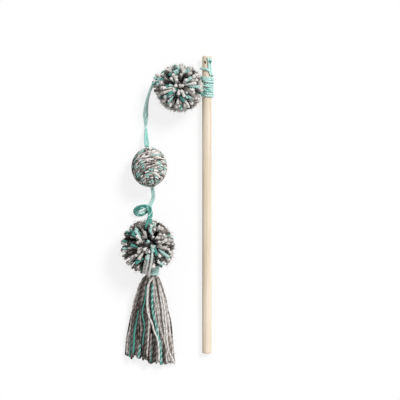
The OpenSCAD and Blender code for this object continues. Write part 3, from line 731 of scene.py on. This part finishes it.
# ---------------------------------------- lower pompom
# Made as the upper one, but larger, with more grey-brown in it, and tied off its middle, so
# that its longest ends fall away to the left and towards the tassel.
lower_stop_at = (-0.0150, -0.0542, 0.0180)
pompom(
    "lower_pompom", "lower_part", centre=np.array([-0.0195, -0.0365, 0.0265]),
    waist=np.array([-0.0160, -0.0320, 0.0262]), radius=0.0272, count=480, seed=5,
    shares=[24, 23, 24, 16, 7, 4, 2],
    cords=[((-0.0184, -0.0128, 0.0164), 9), (lower_stop_at, 17), ((-0.0112, -0.0560, 0.0320), 17),
           ((-0.0100, -0.0575, 0.0270), 15)],
    tufts=[
        (coal, [(-16, -25), (-26, -48), (-25, -55), (-30, -33), (-38, -27), (0, -40), (-41, -46),
                (-12, -33)]),
        (dark_grey, [(-10, -20), (-32, -58), (-32, -12), (-26, -12), (-22, -34), (-6, -48)]),
        (white, [(-33, -21), (-12, -29), (-3, -24), (0, -28), (-35, -45), (-22, -53), (-9, -54),
                 (-19, -36)]),
        (mint, [(1, -46), (-18, -17), (-30, -19), (-6, -53), (-41, -39), (-20, -52)]),
        (teal, [(-44, -29), (-32, -52), (-40, -20), (-18, -60)])],
    rows=[
        (-15.6, -33.4, -13.2, -41.8, mint), (-12.2, -36, -9.6, -44.6, teal),
        (-8.2, -38.6, 1.8, -46.6, mint), (-20.6, -33, -17.6, -30, mint),
        (-25.6, -27.6, -31.6, -19.4, mint), (-29.6, -27.6, -34.8, -22.4, teal),
        (-29.4, -36.2, -36, -34.2, teal), (-18.6, -42.6, -19.4, -49.6, mint),
        (-23.4, -48, -31.2, -52.6, teal), (-24.8, -30, -30.4, -24.6, white),
        (-14.6, -25, -16.6, -18.6, mint), (-22.6, -40.4, -28.2, -49, pale_grey),
        (-21.4, -17.8, -18.6, -9.4, teal), (-17.0, -15.4, -16.2, -9.2, teal),
        (-6.6, -33.6, 0.4, -28.4, white), (-9.2, -36, 0.2, -37.4, pale_grey),
        (-20.4, -27.6, -22.4, -20.6, pale_grey)])

fall_routes = mm([
    [[-14.4, -38, 46], [-14.6, -47, 47.6], [-16.2, -56, 43], [-17.6, -62, 35.6],
     [-18.2, -66.6, 28.3]],
    [[-17.5, -44, 46], [-18.6, -50, 46.6], [-20, -56.5, 41.2], [-20.6, -61.5, 34],
     [-20.4, -64.6, 28.9]],
    [[-20.4, -45, 45], [-21.4, -51, 45.2], [-22.6, -56.5, 39.6], [-22.8, -60.5, 33],
     [-22.4, -63, 29.2]]])
fall_paths = np.stack([smooth_path(route, 26) for route in fall_routes])
fall_width = np.interp(np.linspace(0, 1, 26), [0, 0.5, 0.93, 1], [0.0008, 0.0011, 0.0014, 0.0004])
fall_rings = tubes(fall_paths, fall_width, 8, 0.2, run_of(fall_paths) / yarn_lay)
mixed_strands("lower_pompom_fall", fall_rings, [white, white, pale_grey], "lower_part")

lower_tie_route = mm([[-18.4, -12.8, 16.4], [-17.8, -18, 20.6], [-17, -25, 24.4], [-16, -32, 26.2],
                      [-15.4, -39, 25.2], [-15.1, -46, 21.8], [-15, -52.2, 18.8]])
aqua_length("lower_tie_yarn", smooth_path(lower_tie_route, 70), tie_width, tie_lay,
            aqua("ddd"), "lower_part", "lower_pompom_tie")
aqua_length("lower_stop_yarn", knot_path(lower_stop_at, 0.0038, 0.4), 0.0015, knot_lay,
            aqua("ddd"), "lower_part", "lower_stop_knot")

# ---------------------------------------- tassel
# Lengths of the same yarns are folded over the cord, bound into a neck by a few turns of aqua
# yarn, and hang as a skirt that lies spread out flat on the table.
neck_at = np.array(lower_stop_at)
neck_drop = math.radians(11)
neck_gap, skirt_top = 0.0008, 0.0085
left_length, right_length = 0.0905, 0.0995
widest_sway, half_strand = 0.0032, 0.0011


def on_neck(points):
    """Turns points given in the neck's own frame, z down the neck and y up, into the object's."""
    return tipped(np.asarray(points) + (0, 0, neck_gap), math.pi / 2 + neck_drop, neck_at)


def skirt_shape(run):
    """Half width, middle, height and half thickness of the skirt at a distance below the neck's
    top, each led through a few measured places."""
    table = mm([
        [0, 4, 0, 17.8, 4], [10.5, 4.2, -1.1, 15.9, 4.3], [13, 7.4, -1.3, 15, 5.2],
        [22, 11.5, -2, 12, 6], [38, 16, -2.3, 8.6, 5.8], [54, 19.4, -2.4, 6.8, 5.4],
        [74, 22.5, -2.4, 5.6, 5], [91, 23.9, -2.4, 5.1, 4.7], [102, 24.4, -2.4, 5, 4.6]])
    half, off, height, thick = (np.interp(run, table[:, 0], column) for column in table[:, 1:].T)
    return half, neck_at[0] + off, height, thick


def skirt_paths(u, v, rng, rings):
    """Strands of the skirt. u and v, from -1 to 1, place a strand across and through the neck.
    Below the neck its place spreads out across the table, eases down to it and sways."""
    share = np.linspace(0, 1, rings)[None]
    u, v = u[:, None], v[:, None]
    length = left_length + (right_length - left_length) * np.clip(0.75 * (u + 1), 0, 1)
    length = length + rng.uniform(-0.0022, 0.0012, u.shape)
    run = skirt_top + (length - skirt_top) * share
    half, middle, height, thick = skirt_shape(run)
    bulge = np.sqrt(np.clip(1 - u ** 2, 0.04, 1))
    sway = np.zeros(run.shape)
    for waves, size in ((0.9, 0.0015), (2.1, 0.0008), (4.3, 0.0003)):
        reach, phase = size * rng.normal(0, 1, u.shape), rng.uniform(0, 1, u.shape)
        sway = sway + reach * np.sin(2 * math.pi * (waves * share + phase)) * share ** 0.5
    x = middle + u * half + np.clip(sway, -widest_sway, widest_sway) * np.sqrt(bulge)
    z = np.maximum(height + v * bulge * thick + 0.5 * np.roll(sway, 3, axis=1), half_strand)
    return np.stack([x, neck_at[1] - neck_gap - run, z], axis=2)


def skirt_dyes_and_shade(u, v, rng):
    """Dyes of the strands inside the skirt, drawn by shares that run from the dark left edge over
    the mixed middle to the paler right edge. The dark left is partly the yarns' own dark dyes and
    partly painted shade of the side away from the lamp. Those underneath are as mixed as those on
    top."""
    shares = [[0, 0, 6, 18, 74, 0, 2], [0, 5, 12, 20, 58, 1, 4], [8, 26, 38, 20, 8, 0, 0]]
    here = np.stack([np.interp(u, [-0.75, 0, 0.6], dye) for dye in zip(*shares)], axis=1)
    here[v < -0.9] = [6, 18, 30, 26, 14, 3, 3]
    return every_dye[drawn(here, rng)]


def marled(dyes):
    """Dyes of the three plies of each strand: two of the strand's own dye, one a shade off it. A
    mint strand has one mint ply and two teal ones."""
    own = np.round(np.asarray(dyes) * 7 - 0.5).astype(int)
    off = np.array([1, 2, 3, 4, 3, 6, 6])[own]
    return every_dye[np.stack([own, np.where(own == 5, off, own), off], axis=1)].ravel()


def cut_width(radius, rings):
    """Width of strands along their way, with a bloom before the cut end."""
    bloom = np.interp(np.linspace(0, 1, rings), [0, 0.93, 0.97, 0.99, 1], [1, 1, 1.12, 1, 0.5])
    return np.reshape(radius, (-1, 1)) * bloom


rng = np.random.default_rng(3)
columns, layers, skirt_rings = 22, [-1.0, -0.35, 0.35], 64
u = np.repeat((2 * np.arange(columns) + 1) / columns - 1, len(layers))
u, v = np.clip(u + rng.normal(0, 0.02, len(u)), -1, 1), np.tile(layers, columns)
skirt = skirt_paths(u, v, rng, skirt_rings)
skirt_width = cut_width(rng.uniform(0.0011, 0.00135, len(u)), skirt_rings)
skirt_turns = rng.uniform(0, 1, (len(u), 1)) + run_of(skirt) / yarn_lay
mixed_strands("tassel_skirt_strands", tubes(skirt, skirt_width, 6, ply_depth, skirt_turns),
              skirt_dyes_and_shade(u, v, rng), "tassel_part", "tassel_strands")

# Plied strands on top of those: the place of each across the skirt and its dye. The near black ones
# lie a little lower and are partly near black yarn and partly painted shade in the gaps between
# strands.
upper_u, upper_own_and_gap_shade = np.array([
    (-0.98, pale_grey), (-0.89, grey), (-0.79, coal), (-0.70, coal), (-0.60, dark_grey),
    (-0.50, grey), (-0.40, coal), (-0.31, coal), (-0.22, dark_grey), (-0.12, pale_grey),
    (-0.02, coal), (0.08, coal), (0.18, coal), (0.29, pale_grey), (0.40, pale_grey), (0.50, grey),
    (0.60, dark_grey), (0.70, white), (0.80, grey), (0.90, pale_grey), (0.99, grey)]).T
plied_rings = 100
# Near black strands lie lower: painted shade of the gaps between strands, partly near black yarn.
upper_paths = skirt_paths(upper_u, np.where(upper_own_and_gap_shade == coal, 0.98, 1.02), rng, plied_rings)
upper_width = cut_width(rng.uniform(0.0023, 0.0026, len(upper_u)), plied_rings)
upper_strands, upper_ply_dyes_and_gap_shade = plied(upper_paths, upper_width, yarn_lay, sides=5), marled(upper_own_and_gap_shade)
mixed_strands("tassel_upper_strands", upper_strands, upper_ply_dyes_and_gap_shade, "tassel_part")
loose_fibres("tassel_fuzz", upper_strands, upper_ply_dyes_and_gap_shade, "tassel_part", 24, 8, rng)


def laid_on_skirt(places, lift):
    """Path through places in millimetres on the top of the skirt: its height there, taken from
    the skirt's round cross-section, plus a lift."""
    flat = smooth_path(mm([(x, y, 0) for x, y in places]), plied_rings)
    half, middle, height, thick = skirt_shape(neck_at[1] - neck_gap - flat[:, 1])
    bulge = np.sqrt(np.clip(1 - ((flat[:, 0] - middle) / half) ** 2, 0.04, 1))
    flat[:, 2] = height + thick * bulge + lift
    return flat


# Strands that stand out: the dye of each, its width and lift in millimetres, and its way.
top_dyes, top_widths, top_lifts, top_places = zip(
    (white, 2.2, 2.3, [
        (-14.5, -67.6), (-18.7, -74.4), (-19.8, -84), (-20.1, -96.5), (-18.7, -105.5),
        (-15.2, -113.8), (-13.2, -121.3), (-9.8, -129.6), (-8.4, -141.3), (-8.4, -151.7)]),
    (mint, 2.6, 1.4, [
        (-14.6, -74), (-15.2, -89.6), (-14.9, -99.2), (-13.5, -107.5), (-11.1, -115.8),
        (-9.8, -124.2), (-8, -131), (-6.6, -141.3), (-6.3, -155.8)]),
    (teal, 1.7, 1.2, [
        (-20.8, -76), (-22.5, -91), (-24.6, -98), (-24.9, -106), (-23.2, -113.8), (-22.9, -120.6),
        (-24.2, -128.2), (-24.9, -136)]),
    (teal, 2.7, 1.1, [
        (-28.4, -101), (-29.8, -108.3), (-31.8, -116.8), (-33.2, -123.8), (-33.6, -131.3),
        (-34.2, -139.6), (-34.9, -144)]),
    (mint, 2.3, 0.8, [(-26.9, -131), (-27.6, -139.3), (-29.4, -149)]),
    (teal, 1.9, 0.6, [(-36, -127), (-37.4, -138), (-38, -148)]),
    (teal, 1.8, 0.4, [(-13.4, -122), (-14.5, -132), (-16.6, -152.6)]),
    (pale_grey, 2.2, 1.2, [
        (-13.9, -69), (-13.2, -88.2), (-11.1, -96.5), (-9.1, -107.5), (-6.6, -120.6),
        (-2.1, -134.5), (2, -152.4)]),
    (white, 2.3, 1.4, [
        (-7.6, -76), (-3.5, -93.8), (-2.1, -106.9), (-0.8, -121.3), (-0.1, -132.4), (2.6, -144.7),
        (7.5, -154.6)]),
    (dark_grey, 2.4, 1.5, [(-33, -99), (-34.9, -116), (-35.8, -134), (-36, -150)]),
    (coal, 2.3, 1.9, [
        (-25.9, -93.8), (-29.1, -110.3), (-29.8, -120.7), (-26.9, -131), (-24.2, -139.3),
        (-20.8, -147.6), (-17.4, -153.4), (-14.7, -152.6), (-13.2, -146.9), (-12.1, -139.3),
        (-11.4, -132.5)]),
    (dark_grey, 2.3, 1.6, [
        (-20.8, -100), (-21.2, -112), (-21.6, -124), (-22.2, -136), (-23.2, -146)]),
    (pale_grey, 2.3, 1.3, [(-18.2, -104), (-18.7, -116), (-19.4, -130), (-20.6, -147)]),
    (grey, 2.1, 1.0, [(-16.2, -124), (-16.9, -136), (-17.6, -150)]))
top_paths = np.stack([laid_on_skirt(*laid) for laid in zip(top_places, mm(top_lifts))])
top_rings = plied(top_paths, cut_width(mm(top_widths), plied_rings), yarn_lay, sides=5)
mixed_strands("tassel_top_strands", top_rings, marled(top_dyes), "tassel_part")


def fold_paths(count, rng):
    """Folds over the cord: each rises out of the neck near the middle, turns over in a half circle
    and goes back down into the neck nearer the outside."""
    turn = 2 * math.pi * (np.arange(count) + rng.uniform(-0.3, 0.3, count))[:, None] / count
    t = np.linspace(0, math.pi, 22)[None]
    inner, outer = 0.0015, rng.uniform(0.0033, 0.0039, (count, 1))
    bent = (inner + outer) / 2 - (outer - inner) / 2 * np.cos(t)
    leg, straight = np.linspace(0.0105, 0.0032, 8)[None], np.ones((count, 8))
    radial = np.concatenate([inner * straight, bent, outer * straight], axis=1)
    depth = np.concatenate([leg, 0.0028 - 0.0018 * np.sin(t), leg[:, ::-1]], axis=1)
    depth = np.repeat(depth, count, axis=0)
    return on_neck(np.stack([radial * np.cos(turn), radial * np.sin(turn), depth], axis=2))


fold_count = 13
folds = fold_paths(fold_count, rng)
fold_rings = tubes(folds, 0.00105, 8, 0.14, run_of(folds) / yarn_lay)
fold_dyes = rng.choice([white, pale_grey, grey, dark_grey], fold_count, p=[0.25, 0.25, 0.3, 0.2])
mixed_strands("tassel_head_folds", fold_rings, fold_dyes, "tassel_part")

wrap_turns, wrap_start, wrap_radius = 3.6, 1.05, 0.0060
wrap_top, wrap_length = 0.0009, 0.0088
t = np.linspace(0, 1, 260)
wrap_angle = wrap_start - 2 * math.pi * wrap_turns * t
wrap = [wrap_radius * np.cos(wrap_angle), wrap_radius * np.sin(wrap_angle),
        wrap_top + wrap_length * t]
aqua_length("neck_wrap_yarn", on_neck(np.stack(wrap, axis=1)), 0.0026, 0.0064, aqua("lll"),
            "tassel_part", "tassel_neck_wrap")

# ---------------------------------------- table and light
# A white table, one broad soft lamp from the upper right and an even white sky. Together they
# light a flat surface so that it renders about as its colour is written.
table = placed("table", bpy.data.meshes.new("table"))
edge = 3.0
table_corners = [(-edge, -edge, 0), (edge, -edge, 0), (edge, edge, 0), (-edge, edge, 0)]
table.data.from_pydata(table_corners, [], [(0, 1, 2, 3)])


def white_finish():
    """Matt white. To the camera, in a gloss or through glass, most of it is a plain white of
    strength 1 and the rest takes the light and the object's shadow. To the object it is matt."""
    material = bpy.data.materials.new("white table")
    material.use_nodes = True
    tree = material.node_tree
    shader = tree.nodes["Principled BSDF"]
    feed(shader, {"Base Color": (0.94, 0.94, 0.94, 1), "Roughness": 0.9, "Specular IOR Level": 0.0})
    plain = wired(tree, "Emission", "Emission", {"Color": (1, 1, 1, 1), "Strength": 1.0})
    path = wired(tree, "LightPath", "Is Camera Ray").node.outputs
    seen = path["Is Camera Ray"]
    for other in ("Is Glossy Ray", "Is Transmission Ray"):
        seen = wired(tree, "Math", 0, {0: seen, 1: path[other]}, operation="MAXIMUM")
    most = wired(tree, "Math", 0, {0: seen, 1: 0.8}, operation="MULTIPLY")
    mixed = wired(tree, "MixShader", "Shader", {"Fac": most, 1: shader.outputs["BSDF"], 2: plain})
    feed(tree.nodes["Material Output"], {"Surface": mixed})
    return material


table.data.materials.append(white_finish())

lamp_data = bpy.data.lights.new("soft lamp", "SUN")
lamp_data.energy = 2.4
lamp_data.angle = math.radians(18)
lamp = placed("soft lamp", lamp_data)
lamp.rotation_euler = (math.radians(-28), math.radians(30), 0)

sky = bpy.data.worlds.new("even sky")
sky.use_nodes = True
feed(sky.node_tree.nodes["Background"], {"Color": (1, 1, 1, 1), "Strength": 0.5})
bpy.context.scene.world = sky
bpy.context.scene.view_settings.view_transform = "Standard"
